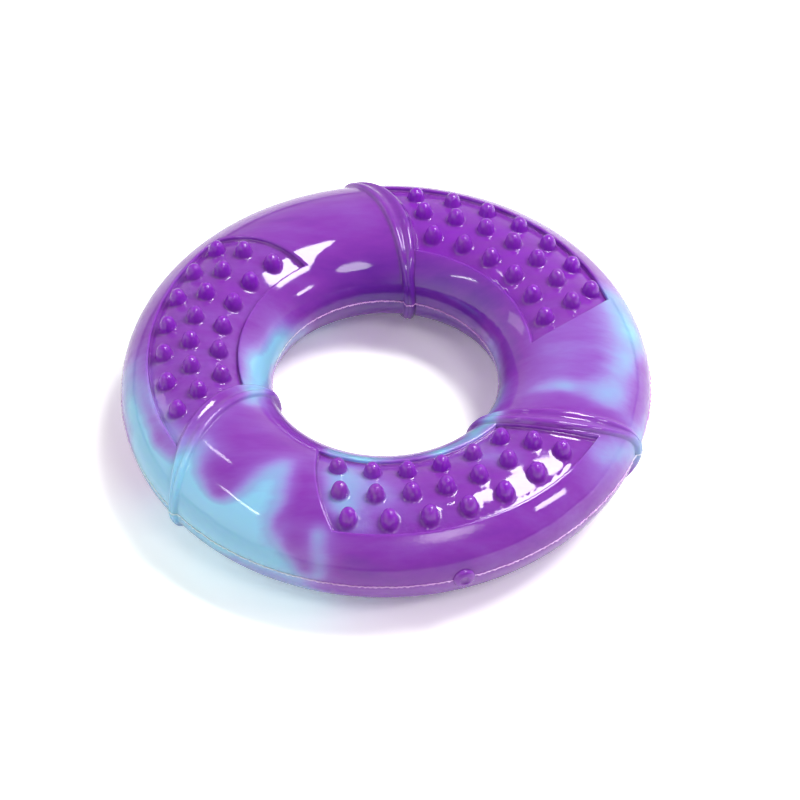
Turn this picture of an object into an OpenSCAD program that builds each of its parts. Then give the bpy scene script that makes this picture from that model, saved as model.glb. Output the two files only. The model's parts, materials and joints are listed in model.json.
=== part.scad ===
// Chew ring for a dog: a fat oval-section ring, moulded in soft rubber as an upper
// and a lower half shell that meet in a seam round the ring's middle. Each half has
// three sunk panels that hold a studded chew pad, and between them a slanted
// double rib that runs right round the tube. A foam core keeps the ring springy.
// The ring lies flat on the tips of its lower studs, with its axis along Z.

/* [Ring] */
// Distance from the ring's axis to the middle of its tube
ring_r = 50; // [46:0.5:56]
// Width of the tube across the ring
tube_w = 40; // [37:0.5:43]
// Height of the tube
tube_h = 30.4; // [28:0.2:33]
// Radius of the tube's inner and outer sides
side_r = 12; // [10:0.5:13]
// Thickness of the shells' rubber wall
wall = 5.6; // [5:0.1:6.4]

/* [Seam] */
// Width of the tongue that keys the two shells together
tongue_w = 1.8; // [1.2:0.1:2.2]
// Height of the tongue
tongue_h = 1.4; // [0.8:0.1:2]
// Thickness of the bead that is squeezed out along the seam
bead_d = 0.8; // [0.4:0.1:1.2]

/* [Fits] */
// Free space between the tongue and its groove, on each side
tongue_gap = 0.1; // [0.05:0.05:0.3]
// Free space round the edge of a pad in its panel
pad_gap = 0.1; // [0.05:0.05:0.3]
// Free space between the seam beads and their seats
bead_gap = 0.05; // [0.02:0.01:0.1]
// Free space between the plug and its hole
plug_gap = 0.05; // [0.02:0.01:0.1]
// Free space between the foam core and the shells
core_gap = 0.2; // [0.1:0.05:0.5]

/* [Panels] */
// Depth of a panel's floor below the tube's surface
panel_depth = 1.6; // [1:0.1:2]
// Distance from the tube's middle in to a panel's inner edge
panel_in = 11.3; // [10:0.1:12]
// Distance from the tube's middle out to a panel's outer edge
panel_out = 12.2; // [11.5:0.1:13]
// Direction of a panel's free end where it crosses the tube's middle
panel_start = 9.3; // [4:0.1:12]
// Angle from a panel's free end to its ribbed end
panel_span = 73.2; // [60:0.1:76]
// Radius of the arcs that bound a panel's two ends, seen from above
swirl_r = 41.3; // [36:0.1:46]
// How far the centres of these arcs lie inside the tube's middle
swirl_set = 1.4; // [0:0.1:3]

/* [Pads] */
// Thickness of a chew pad under its studs
pad_t = 1.8; // [1.4:0.1:2.2]

/* [Studs] */
// Radius of a stud at its foot
stud_r = 2.35; // [1.8:0.05:2.6]
// Height of a stud from the panel's floor to its tip
stud_h = 4; // [2.8:0.1:4.6]
// Radius of the flat that a stud's tip is worn to
tip_r = 1; // [0.6:0.05:1.2]
// Place of the inner row of studs, inwards from the tube's middle
inner_row = 6.4; // [6:0.1:7.2]
// Where the middle row starts at a panel's free end, outwards from the tube's middle
middle_row = 1.8; // [0.8:0.1:2.4]
// Where the outer row starts at a panel's free end, outwards from the tube's middle
outer_row = 8.6; // [8:0.1:9]
// How far these two rows drift inwards on their way to the panel's ribbed end
row_drift = 1; // [0:0.1:1.4]
// Studs in the inner row
inner_count = 6; // [3:1:7]
// Studs in the middle row
middle_count = 7; // [3:1:8]
// Studs in the outer row
outer_count = 7; // [3:1:8]
// Distance from a panel's free end to the first stud of a row
row_lead = 5.8; // [4.5:0.1:7]
// Distance from the last stud of the inner row to the panel's ribbed end
inner_tail = 5.4; // [4.5:0.1:8]
// Distance from the last stud of the middle row to the panel's ribbed end
middle_tail = 5; // [4.5:0.1:8]
// Distance from the last stud of the outer row to the panel's ribbed end
outer_tail = 6.3; // [4.5:0.1:8]

/* [Ribs] */
// Direction of the main crest where it crosses the tube's middle
rib_at = 89.2; // [88:0.1:92]
// Radius of the arc that the main crest follows, seen from above
rib_arc_r = 82.5; // [74:0.5:90]
// How far the centre of that arc lies outside the tube's middle
rib_arc_set = 27.2; // [24:0.1:30]
// Distance from a panel's end to the second crest beside it
crest_set = 1.8; // [1.5:0.1:2.1]
// Width of each crest
crest_w = 2.4; // [1.6:0.1:2.6]
// Height of the crests above the tube's surface
crest_h = 1.2; // [0.6:0.1:1.6]
// Least distance between the two crests where they run together
crest_join = 0.6; // [0.4:0.1:1]

/* [Vent plug] */
// Direction of the plug on the ring's outer side
plug_at = 285.8; // [250:0.1:290]
// Radius of the plug's head
head_r = 2.9; // [2.2:0.1:3.4]
// How far the head stands out of the tube's side
head_out = 1.4; // [0.9:0.1:1.6]
// Radius of the head's domed face
dome_r = 5; // [4:0.5:8]
// Depth to which the head is let into the tube's side
head_in = 0.9; // [0.7:0.1:1.4]
// Radius of the plug's stem
stem_r = 1.5; // [1:0.1:1.8]
// Radius of the dimple in the head's face
dimple_r = 1.2; // [0.8:0.1:1.6]
// Depth of the dimple
dimple_depth = 0.6; // [0.3:0.1:1]

/* [Hidden] */
$fn = 96;

// Turns of the three sectors: the first lies to the right and the rear
sectors = [0, 120, 240];
// How far a cutting shape runs past what it cuts
overrun = 2;
// Depth to which a rib's foot is sunk into the wall
rib_root = 0.6;
// Turns along a rib's half loop, from the outer to the inner side
rib_steps = 18;
// A crest's rounded flank: places across its half width, and heights, as shares
flank_shares = [[1, 0], [0.96, 0.28], [0.75, 0.66], [0.4, 0.92]];
// The groove between the crests: places between them, and depths, as shares
groove_shares = [[0.25, 0.2], [0.5, 0.45], [0.75, 0.2]];

half_w = tube_w / 2;
half_h = tube_h / 2;
crown_r = (half_w * half_w + half_h * half_h - 2 * half_w * side_r) / (2 * (half_h - side_r));
crown_drop = crown_r - half_h;
side_x = half_w - side_r;
side_turn = acos(side_x / (crown_r - side_r));
pocket_depth = panel_depth + pad_t;
rest_h = skin_z(middle_row - row_drift / 2, -panel_depth) + stud_h;

// Angle that locks a radius to an arc whose centre is set off from the axis
function arc_turn(r, centre_r, arc_r) =
    acos((r * r + centre_r * centre_r - arc_r * arc_r) / (2 * r * centre_r));

// Direction at radius r of an arc that crosses the tube's middle at a given direction
function swirl_at(r, mid_at, centre_r, arc_r) =
    mid_at + arc_turn(ring_r, centre_r, arc_r) - arc_turn(r, centre_r, arc_r);

// Directions of the panel's ends, the second crest and the main crest at radius r
function free_end_at(r) = swirl_at(r, panel_start, ring_r - swirl_set, swirl_r);
function ribbed_end_at(r) = free_end_at(r) + panel_span;
function main_crest_at(r) = swirl_at(r, rib_at, ring_r + rib_arc_set, rib_arc_r);
function second_crest_at(r) =
    panel_start + panel_span
    + arc_turn(ring_r, ring_r - swirl_set, swirl_r)
    - arc_turn(r, ring_r - swirl_set, swirl_r - crest_set);

// An arc length at radius r, as an angle
function as_angle(length, r) = length / r * 180 / PI;

// Point of the tube's section where its outward normal leans by turn, grown by grow
function skin_point(turn, grow) =
    turn < side_turn ? [side_x + (side_r + grow) * cos(turn), (side_r + grow) * sin(turn)]
    : turn > 180 - side_turn ? [-side_x + (side_r + grow) * cos(turn), (side_r + grow) * sin(turn)]
    : [(crown_r + grow) * cos(turn), (crown_r + grow) * sin(turn) - crown_drop];

// Height of the tube's skin, grown by grow, at distance x from the tube's middle
function skin_z(x, grow) =
    abs(x) > side_x + (side_r + grow) * cos(side_turn)
    ? sqrt(pow(side_r + grow, 2) - pow(abs(x) - side_x, 2))
    : sqrt(pow(crown_r + grow, 2) - x * x) - crown_drop;

// The tube's oval section: two flat crowns whose tips give way to two round sides
module oval(grow) {
    join_x = side_x + (side_r + grow) * cos(side_turn);
    difference() {
        intersection() {
            translate([0, -crown_drop]) circle(crown_r + grow);
            translate([0, crown_drop]) circle(crown_r + grow);
        }
        for (side = [-1, 1])
            difference() {
                translate([side * (join_x + half_w), 0])
                    square([2 * half_w, 2 * (half_h + overrun)], center = true);
                translate([side * side_x, 0]) circle(side_r + grow);
            }
    }
}

module oval_ring(grow) {
    rotate_extrude() translate([ring_r, 0]) oval(grow);
}

module upper_half_ring(grow) {
    rotate_extrude()
        intersection() {
            translate([ring_r, 0]) oval(grow);
            square([ring_r + tube_w, tube_h]);
        }
}

// A panel seen from above: a curved field between two equal arcs, drawn in by inset
module panel_outline(inset) {
    centre_turn = panel_start + arc_turn(ring_r, ring_r - swirl_set, swirl_r);
    difference() {
        intersection() {
            circle(ring_r + panel_out - inset);
            rotate(centre_turn) translate([ring_r - swirl_set, 0]) circle(swirl_r - inset);
        }
        circle(ring_r - panel_in + inset);
        rotate(centre_turn + panel_span)
            translate([ring_r - swirl_set, 0]) circle(swirl_r + inset);
    }
}

// All that lies above a panel's floor or pocket, for cutting it out of the shell
module panel_space(depth) {
    difference() {
        linear_extrude(height = half_h + crest_h + overrun) panel_outline(0);
        oval_ring(-depth);
    }
}

// Places and heights across the double rib, at one turn round the tube
function rib_row(turn) =
    let (
        r = ring_r + skin_point(turn, 0)[0],
        first = main_crest_at(r),
        second = min(second_crest_at(r), first - as_angle(crest_join, r)),
        w = as_angle(crest_w / 2, r),
        apart = first - second,
        groove = min(1, apart / (2 * w))
    )
    concat(
        [for (f = flank_shares) [first + w * f[0], f[1] > 0 ? crest_h * f[1] : -rib_root]],
        [[first, crest_h]],
        [for (g = groove_shares) [first - apart * g[0], crest_h * (1 - groove * g[1])]],
        [[second, crest_h]],
        [for (i = [len(flank_shares) - 1 : -1 : 0])
            [second - w * flank_shares[i][0],
             flank_shares[i][1] > 0 ? crest_h * flank_shares[i][1] : -rib_root]]
    );

// Half a turn of the double rib, swept round the tube from its outer to its inner side
module rib_band() {
    across = 2 * len(flank_shares) + len(groove_shares) + 2;
    points = [
        for (i = [0 : rib_steps])
            let (turn = 180 * i / rib_steps)
            for (place = rib_row(turn))
                let (p = skin_point(turn, place[1]))
                [(ring_r + p[0]) * cos(place[0]), (ring_r + p[0]) * sin(place[0]),
                 i == 0 || i == rib_steps ? 0 : p[1]]
    ];
    sides = [
        for (i = [0 : rib_steps - 1])
            for (j = [0 : across - 1])
                let (
                    a = i * across + j,
                    b = i * across + (j + 1) % across,
                    c = (i + 1) * across + (j + 1) % across,
                    d = (i + 1) * across + j
                )
                each [[a, b, c], [a, c, d]]
    ];
    first_end = [for (j = [1 : across - 2]) [0, j + 1, j]];
    last_end = [
        for (j = [1 : across - 2])
            [rib_steps * across, rib_steps * across + j, rib_steps * across + j + 1]
    ];
    polyhedron(points = points, faces = concat(sides, first_end, last_end));
}

// Rings that run in the middle of the shells' inner and outer walls
module key_ring(width, height) {
    for (r = [ring_r - half_w + wall / 2, ring_r + half_w - wall / 2])
        rotate_extrude()
            translate([r - width / 2, -height])
                square([width, 2 * height]);
}

module seam_ring(r, thick) {
    rotate_extrude() translate([r, 0]) circle(thick / 2);
}

// Lays a shape that is drawn along Z on the plug's axis, with zero at the tube's side
module at_plug() {
    rotate([0, 0, plug_at]) translate([ring_r + half_w, 0, 0]) rotate([0, 90, 0]) children();
}

module plug_space(gap) {
    at_plug() {
        translate([0, 0, -head_in]) cylinder(h = head_in + head_out + overrun, r = head_r + gap);
        translate([0, 0, -wall - overrun]) cylinder(h = wall + overrun, r = stem_r + gap);
    }
}

// One half of the ring's skin, lying on its joint face
module half_shell() {
    difference() {
        union() {
            upper_half_ring(0);
            for (turn = sectors) rotate([0, 0, turn]) rib_band();
        }
        oval_ring(-wall);
        for (turn = sectors) rotate([0, 0, turn]) panel_space(pocket_depth);
        seam_ring(ring_r + half_w, bead_d + 2 * bead_gap);
        seam_ring(ring_r - half_w, bead_d + 2 * bead_gap);
    }
}

// One upright stud: an arc that narrows from its foot to the flat on its tip
module stud() {
    arc_r = (stud_h * stud_h + pow(stud_r - tip_r, 2)) / (2 * (stud_r - tip_r));
    rotate_extrude()
        intersection() {
            translate([stud_r - arc_r, 0]) circle(arc_r);
            translate([0, -pad_t - stud_r]) square([stud_r, pad_t + stud_r + stud_h]);
        }
}

// Studs of one row, evenly spaced from the free end to the ribbed end
module stud_row(set, drift, count, tail) {
    first_r = ring_r + set;
    last_r = first_r - drift;
    start = free_end_at(first_r) + as_angle(row_lead, first_r);
    end = ribbed_end_at(last_r) - as_angle(tail, last_r);
    for (i = [0 : count - 1])
        let (share = i / max(1, count - 1))
            rotate([0, 0, start + (end - start) * share])
                translate([first_r - drift * share, 0, skin_z(set - drift / 2, -panel_depth)])
                    stud();
}

// A chew pad: a skin that follows the tube, with its upright studs
module pad() {
    difference() {
        union() {
            intersection() {
                upper_half_ring(-panel_depth);
                linear_extrude(height = half_h) panel_outline(pad_gap);
            }
            stud_row(-inner_row, 0, inner_count, inner_tail);
            stud_row(middle_row, row_drift, middle_count, middle_tail);
            stud_row(outer_row, row_drift, outer_count, outer_tail);
        }
        oval_ring(-pocket_depth);
    }
}

// Lifts the ring, which is drawn round its centre, so that it lies on Z zero
module placed() {
    translate([0, 0, rest_h]) children();
}

module upper_shell() {
    color("#7a3fb5")
        placed()
            difference() {
                half_shell();
                key_ring(tongue_w + 2 * tongue_gap, tongue_h + tongue_gap);
                plug_space(plug_gap);
            }
}

module lower_shell() {
    color("#6a8fd0")
        placed()
            difference() {
                union() {
                    mirror([0, 0, 1]) half_shell();
                    intersection() {
                        key_ring(tongue_w, tongue_h);
                        cylinder(h = 2 * tongue_h, r = ring_r + half_w);
                    }
                }
                plug_space(plug_gap);
            }
}

module foam_core() {
    color("#d9d6e6") placed() oval_ring(-wall - core_gap);
}

module outer_seam_bead() {
    color("#b98ade")
        placed()
            difference() {
                seam_ring(ring_r + half_w, bead_d);
                plug_space(plug_gap);
            }
}

module inner_seam_bead() {
    color("#b98ade") placed() seam_ring(ring_r - half_w, bead_d);
}

module vent_plug() {
    color("#8a48c4")
        placed()
            at_plug()
                difference() {
                    union() {
                        intersection() {
                            translate([0, 0, -head_in]) cylinder(h = head_in + head_out, r = head_r);
                            translate([0, 0, head_out - dome_r]) sphere(dome_r);
                        }
                        translate([0, 0, -wall]) cylinder(h = wall, r = stem_r);
                    }
                    translate([0, 0, head_out - dimple_depth])
                        cylinder(h = dimple_depth + overrun, r = dimple_r);
                }
}

module upper_pad(turn) {
    color("#8b4cc6") placed() rotate([0, 0, turn]) pad();
}

module lower_pad(turn) {
    color("#8b4cc6") placed() rotate([0, 0, turn]) mirror([0, 0, 1]) pad();
}

module upper_pad_right() { upper_pad(sectors[0]); }
module upper_pad_left() { upper_pad(sectors[1]); }
module upper_pad_front() { upper_pad(sectors[2]); }
module lower_pad_right() { lower_pad(sectors[0]); }
module lower_pad_left() { lower_pad(sectors[1]); }
module lower_pad_front() { lower_pad(sectors[2]); }

upper_shell();
lower_shell();
foam_core();
outer_seam_bead();
inner_seam_bead();
vent_plug();
upper_pad_right();
upper_pad_left();
upper_pad_front();
lower_pad_right();
lower_pad_left();
lower_pad_front();
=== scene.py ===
# %% [markdown]
# # A marbled rubber chew ring
# The toy is a fat ring of soft, glossy rubber, moulded as an upper and a lower half.
# Each half has three sunk panels with a studded chew pad and, between them, a slanted
# double rib. Purple and pale-blue rubber were poured together, so the colours swirl
# through the whole ring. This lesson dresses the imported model: it builds fine
# surfaces for what shows, and gives every piece a finish made of shader nodes.

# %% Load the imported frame
import json
from math import acos, asin, atan2, cos, pi, radians, sin, sqrt

import bpy
import numpy as np
from mathutils import Matrix, Vector
from mathutils.geometry import delaunay_2d_cdt

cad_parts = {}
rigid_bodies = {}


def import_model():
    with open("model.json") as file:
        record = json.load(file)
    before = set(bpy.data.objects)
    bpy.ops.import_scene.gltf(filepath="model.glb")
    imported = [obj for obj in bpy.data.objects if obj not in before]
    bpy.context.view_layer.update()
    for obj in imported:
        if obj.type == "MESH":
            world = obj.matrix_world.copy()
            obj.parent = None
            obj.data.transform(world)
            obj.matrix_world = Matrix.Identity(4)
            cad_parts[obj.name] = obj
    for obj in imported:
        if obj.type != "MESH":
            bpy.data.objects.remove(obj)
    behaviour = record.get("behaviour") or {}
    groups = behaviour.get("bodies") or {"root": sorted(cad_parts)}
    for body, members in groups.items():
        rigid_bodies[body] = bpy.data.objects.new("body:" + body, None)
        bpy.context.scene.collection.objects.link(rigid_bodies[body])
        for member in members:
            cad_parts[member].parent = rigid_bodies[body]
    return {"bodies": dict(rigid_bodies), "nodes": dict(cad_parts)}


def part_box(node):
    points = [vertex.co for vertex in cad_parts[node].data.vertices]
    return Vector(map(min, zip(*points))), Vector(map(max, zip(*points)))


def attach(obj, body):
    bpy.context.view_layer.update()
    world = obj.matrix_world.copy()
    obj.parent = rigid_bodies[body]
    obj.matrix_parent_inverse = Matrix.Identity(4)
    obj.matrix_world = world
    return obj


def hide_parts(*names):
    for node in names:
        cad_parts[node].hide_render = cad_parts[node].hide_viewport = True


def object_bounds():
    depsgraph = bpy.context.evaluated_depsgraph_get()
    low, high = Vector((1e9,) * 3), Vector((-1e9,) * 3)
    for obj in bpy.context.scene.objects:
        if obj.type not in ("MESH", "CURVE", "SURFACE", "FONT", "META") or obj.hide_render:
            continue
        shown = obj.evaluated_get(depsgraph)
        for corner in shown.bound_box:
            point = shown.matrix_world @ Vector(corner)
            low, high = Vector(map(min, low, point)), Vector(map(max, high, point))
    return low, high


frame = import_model()
cad_low, cad_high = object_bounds()
print("nodes:", sorted(frame["nodes"]))

# %% [markdown]
# ## Sizes
# All lengths below are in millimetres, as a mould maker would write them, and one
# factor turns them into metres when a mesh is made. The rest, such as where the
# tube's flat crown runs into its round sides, is worked out from these driving
# dimensions. The ring lies on its lower studs' tips, so the height of its middle is
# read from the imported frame.

# %% Driving dimensions
MM = 0.001

ring_r = 50.0       # from the ring's axis to the middle of the tube
tube_w = 40.0       # width of the tube
tube_h = 30.4       # height of the tube
side_r = 12.0       # radius of the tube's round sides
wall = 5.6          # thickness of the rubber wall
panel_depth = 1.6   # depth of a panel's floor
panel_in = 11.3     # panel's inner edge, inwards from the tube's middle
panel_out = 12.2    # panel's outer edge, outwards from the tube's middle
panel_start = 9.3   # direction of a panel's free end, in degrees
panel_span = 73.2   # angle that a panel covers, in degrees
swirl_r = 41.3      # radius of the arcs that bound a panel's ends
swirl_set = 1.4     # how far their centres lie inside the tube's middle
pad_t = 1.8         # thickness of a chew pad
pad_gap = 0.1       # free space round a pad
rib_at = 89.2       # direction of the main crest, in degrees
rib_arc_r = 82.5    # radius of the main crest's arc
rib_arc_set = 27.2  # how far its centre lies outside the tube's middle
crest_set = 1.8     # from a panel's end to the second crest
crest_w = 2.4       # width of a crest
crest_h = 1.2       # height of a crest
crest_join = 0.6    # least distance between the two crests
sectors = 0.0, 120.0, 240.0  # turns of the three like sectors, in degrees
box_room = 0.02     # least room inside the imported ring's box

middle_h = (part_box("foam_core")[0].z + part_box("foam_core")[1].z) / 2 / MM
half_w = tube_w / 2
half_h = tube_h / 2
crown_r = (half_w**2 + half_h**2 - 2 * half_w * side_r) / (2 * (half_h - side_r))
crown_drop = crown_r - half_h
side_x = half_w - side_r
side_turn = acos(side_x / (crown_r - side_r))
pocket_depth = panel_depth + pad_t
print(f"ring's middle lies {middle_h:.2f} mm up, crown radius {crown_r:.2f} mm")

# %% [markdown]
# ## The tube's section
# The tube is an oval of four arcs. A point on it is found from the direction in
# which its outward normal leans, called turn here: zero at the outer side, half a
# turn at the inner side. Because all arcs keep their centres when the oval grows or
# shrinks, the same formula gives the skin, a panel's floor and the hollow inside.


# %% Section formulas
def section(turn, grow=0.0):
    """Point of the oval where the normal leans by turn: the centre of the arc that
    holds the point, plus that arc's radius, grown by grow, along the normal."""
    inner = turn > pi - side_turn
    outer = turn < side_turn
    radius = np.where(inner | outer, side_r, crown_r) + grow
    centre_x = np.where(outer, side_x, np.where(inner, -side_x, 0.0))
    centre_z = np.where(inner | outer, 0.0, -crown_drop)
    return centre_x + radius * np.cos(turn), centre_z + radius * np.sin(turn)


def skin_height(x, grow=0.0):
    """Height of the oval above its middle, at x from the tube's middle: Pythagoras on
    the crown's arc, or on the side's arc beyond the place where the two meet."""
    join = side_x + (side_r + grow) * cos(side_turn)
    crown = np.sqrt(np.maximum((crown_r + grow) ** 2 - x**2, 0)) - crown_drop
    side = np.sqrt(np.maximum((side_r + grow) ** 2 - (np.abs(x) - side_x) ** 2, 0))
    return np.where(np.abs(x) > join, side, crown)


def skin_turn(x):
    """Turn of the skin's normal at x: the arc cosine of the way from the centre of the
    crown's arc, or of the side's arc beyond the place where the two meet."""
    side = np.arccos(np.clip((np.abs(x) - side_x) / side_r, -1, 1))
    side = np.where(x > 0, side, pi - side)
    return np.where(np.abs(x) > crown_r * cos(side_turn), side, np.arccos(x / crown_r))


print("height of the crown:", float(skin_height(np.array(0.0))))

# %% [markdown]
# ## Curves that swirl across the tube
# Seen from above, the panels' ends and the ribs are arcs whose centres are set off
# from the ring's axis. The law of cosines gives the direction at which such an arc
# crosses a circle of any radius, so every slanted edge is a function of the radius.


# %% Swirl formulas
def arc_turn(r, centre_r, arc_r):
    """Angle between an arc's centre and its point at radius r: law of cosines."""
    return np.arccos(np.clip((r**2 + centre_r**2 - arc_r**2) / (2 * r * centre_r), -1, 1))


swirl_c = ring_r - swirl_set
swirl_turn = radians(panel_start) + float(arc_turn(ring_r, swirl_c, swirl_r))


def free_end(r, inset=0.0):
    """Direction of a panel's free end at radius r, drawn into the panel by inset."""
    return swirl_turn - arc_turn(r, swirl_c, swirl_r - inset)


def ribbed_end(r, inset=0.0):
    """Direction of a panel's ribbed end: the same arc, one panel further round."""
    return swirl_turn + radians(panel_span) - arc_turn(r, swirl_c, swirl_r + inset)


def main_crest(r):
    """Direction of the main crest, whose arc has its centre outside the tube's middle."""
    c = ring_r + rib_arc_set
    return radians(rib_at) + arc_turn(ring_r, c, rib_arc_r) - arc_turn(r, c, rib_arc_r)


def second_crest(r):
    """Direction of the second crest, beside the panel's end, but never past the main one."""
    beside = ribbed_end(r, -crest_set)
    return np.minimum(beside, main_crest(r) - crest_join / r)


print("crests apart, mm:", float((main_crest(50.0) - second_crest(50.0)) * 50))

# %% [markdown]
# ## From arrays to meshes
# A shape is worked out as a whole array of points about the ring's middle, and handed
# to Blender in one go. One helper lists the quads of a grid, which may be closed in
# either direction, and another makes the mesh object, in metres and in the frame's own
# place.


# %% Mesh helpers
def grid_quads(rows, cols, close_rows, close_cols, start=0):
    """Quads of a grid of points, numbered row by row, wrapping where it is closed."""
    i = np.arange(rows if close_rows else rows - 1)[:, None]
    j = np.arange(cols if close_cols else cols - 1)[None, :]
    i2, j2 = (i + 1) % rows, (j + 1) % cols
    quads = np.stack([i * cols + j, i * cols + j2, i2 * cols + j2, i2 * cols + j], -1)
    return quads.reshape(-1, 4) + start


def signed_volume(points, triangles):
    """Volume within the triangles: a sixth of the triple product of the corners of
    each, summed. It is negative where they face inwards."""
    a, b, c = (points[triangles[:, k]] for k in range(3))
    return float(np.einsum("ij,ij->i", a, np.cross(b, c)).sum() / 6)


def in_scene(name, data):
    """A new object that shows the data, linked to the scene."""
    item = bpy.data.objects.new(name, data)
    bpy.context.scene.collection.objects.link(item)
    return item


def make_piece(name, points, quads, triangles=np.zeros((0, 3), int), side=1):
    """A mesh object from points in millimetres about the ring's middle and its faces,
    which are turned outwards. Side -1 mirrors it to the lower half."""
    points = points * [1, 1, side] + [0, 0, middle_h]
    split = np.vstack([triangles, quads[:, [0, 1, 2]], quads[:, [0, 2, 3]]])
    order = slice(None, None, -1 if signed_volume(points, split) < 0 else 1)
    mesh = bpy.data.meshes.new(name)
    faces = quads[:, order].tolist() + triangles[:, order].tolist()
    mesh.from_pydata((points * MM).tolist(), [], faces)
    mesh.validate()
    mesh.polygons.foreach_set("use_smooth", np.ones(len(mesh.polygons), bool))
    mesh.update()
    print(f"{name}: {len(mesh.vertices)} points, {len(mesh.polygons)} faces")
    return in_scene(name, mesh)


def ring_point(r, az, z):
    """Points at radius r, direction az and height z above the ring's middle."""
    r, az, z = np.broadcast_arrays(r, az, z)
    return np.stack([r * np.cos(az), r * np.sin(az), z], -1)


def turned(points, degrees):
    """Points turned round the ring's axis."""
    c, s = cos(radians(degrees)), sin(radians(degrees))
    return points @ np.array([[c, s, 0], [-s, c, 0], [0, 0, 1]])


def round_circle(count):
    """Points spread evenly round a circle of radius one, seen from above."""
    around = np.linspace(0, 2 * pi, count, endpoint=False)
    return np.stack([np.cos(around), np.sin(around)], -1)


# %% [markdown]
# ## Where the two colours were poured
# Purple and pale-blue rubber were stirred together only a little, so the blue lies in
# wide soft streaks. A streak is a brush stroke in space: a line between two places
# with a radius round it. How deep a place lies in the strokes says how blue it is,
# and purple tongues take blue away again. Before the strokes are looked up, slow waves
# push every place about, which makes the outlines wander. Each path below is a chain
# of strokes: x, y and height of its start about the ring's middle, and then each
# stroke's end in the same way, with its radius and strength.

# %% Strokes of rubber
# pale rubber on the side that the photograph shows
pale_strokes = (
    ((-68, -2, 7), (-65, -16, 8, 7, 0.5), (-62, -28, 5, 7, 0.7), (-57, -38, 4, 8, 0.8)),
    ((-57, -38, 3), (-47, -52, 2, 10, 1.0)),
    ((-32, -18, 11), (-41, -23, 16, 3, 0.15), (-48, -33, 15, 3, 0.15),
     (-52, -41, 9, 4, 0.75)),
    ((-50, -46, 6), (-42, -53, 6, 10, 0.85), (-31, -61, 4, 9, 0.45)),
    ((-41, -51, 10), (-33, -48, 14, 8, 0.4)), ((-36, -52, 10), (-29, -53, 11, 7, 0.35)),
    ((-33, -48, 14), (-28, -42, 15, 5, 0.42)), ((-31, -61, 5), (-25, -64, 3, 6, 0.55)),
    ((-46, -33, 15), (-38, -36, 15, 6, 0.25)), ((-17, -63, 10), (-18, -67, 3, 3, 0.45)),
    ((-36, -16, 12), (-34, -1, 9, 4.5, 0.7)),
    ((-34, -1, 8), (-29, 10, 3, 4.5, 0.8), (-23, 20, -3, 4, 0.6)),
    ((61, 18, 11), (66, 9, 9, 7, 0.58), (64, -4, 11, 7, 0.34), (57, -17, 13, 6, 0.34),
     (46, -16, 15, 5, 0.34), (36, -17, 14, 3, 0.34)), ((44, -3, 15), (58, 3, 14, 10, 0.2)),
    ((55, -36, 9), (64, -28, 5, 6, 0.42)), ((65, -19, 6), (66, -24, 0, 6, 0.55)),
    ((29, 9, 2), (30, -2, 0, 5, 0.45)), ((23, -26, 10), (28, -24, 12, 3, 0.7)),
    ((27, -18, 6), (29, -10, 4, 4, 0.5)), ((67, 22, 4), (62, 34, 0, 6, 0.6)),
    ((-15, -33, 11), (-6, -37, 12, 2.5, 0.75), (14, -36, 12, 2.5, 0.6),
     (24, -29, 12, 2.5, 0.6)),
)
# pale rubber on the chew pads, which were poured on their own
pad_strokes = (
    ((-12, -43, 15), (-10, -53, 13, 6, 0.42), (-8, -60, 13, 5, 0.32)),
    ((-10, -43, 14), (0, -50, 14, 5, 0.35)), ((-60, -22, 10), (-53, -33, 11, 5, 0.6)),
    ((-62, -6, 10), (-61, -16, 10, 3, 0.3)), ((24, -36, 14), (30, -38, 14, 4, 0.2)),
)
# pale rubber on the sides that the photograph doesn't show
hidden_strokes = (
    ((20, 66, -2), (44, 54, 0, 8, 0.9), (55, 42, -6, 7, 0.8)),
    ((-30, 60, -4), (-52, 44, -8, 9, 0.95), (-62, 26, -6, 7, 0.7)),
    ((36, 40, -14), (50, 22, -15, 8, 0.8), (58, 0, -13, 7, 0.95)),
    ((-20, 42, -15), (-44, 30, -15, 9, 0.9), (-56, 6, -13, 7, 0.8)),
    ((-10, -56, -14), (12, -48, -15, 8, 0.85), (34, -42, -14, 7, 0.7)),
    ((-54, -30, -13), (-42, -46, -13, 9, 1.05), (-22, -60, -10, 8, 0.9)),
    ((4, 62, -12), (30, 58, -12, 6, 0.6)),
)
# purple that reaches back into the pale rubber
purple_tongues = (
    ((-36, -38, 15), (-41, -42, 14, 6, 0.9), (-43, -46, 12, 3.5, 0.9)),
    ((-37, -30, 15), (-31, -32, 15, 6, 0.8)), ((-31, -31, 15), (-23, -27, 12, 6, 0.9)),
    ((-22, -44, 15), (-20, -56, 13, 3.5, 0.9), (-22, -62, 9, 3.5, 0.85)),
    ((-21, -56, 13), (-26, -57, 11, 2.5, 0.6)), ((-22, -62, 9), (-21, -66, 4, 3, 0.6)),
    ((-64, -12, 11), (-59, -26, 11, 3, 0.5), (-54, -33, 12, 3, 0.5)),
    ((67, -5, 6), (65, -17, 8, 4, 0.9)),
    ((35, -20, 13), (45, -21, 15, 3, 0.8), (60, -24, 11, 4, 0.7)),
    ((-38, -17, 14), (-44, -23, 16, 3, 0.6), (-48, -32, 15, 4, 0.6)),
)
# painted shade as deeper purple: along the inside of the ring from the far side round to the
# right, near the seam, and low on the front outside; the wide stroke over the far right of the
# crown only darkens it
shade_and_deep_strokes = (
    ((-16, 26, 2), (-4, 30, 3, 8, 0.8), (12, 29, 3, 9, 1.0), (26, 18, 4, 9, 1.0),
     (33, 0, 5, 7, 1.0)), ((12, 54, 12), (44, 28, 13, 13, 0.4)),
    ((-12, -66, 4), (20, -66, 4, 6, 0.2)),
)
# how far the painted shade and the deep purple lie below plain purple
shade_and_deep_share = 0.2  # how far the deepest purple lies below plain purple
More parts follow.
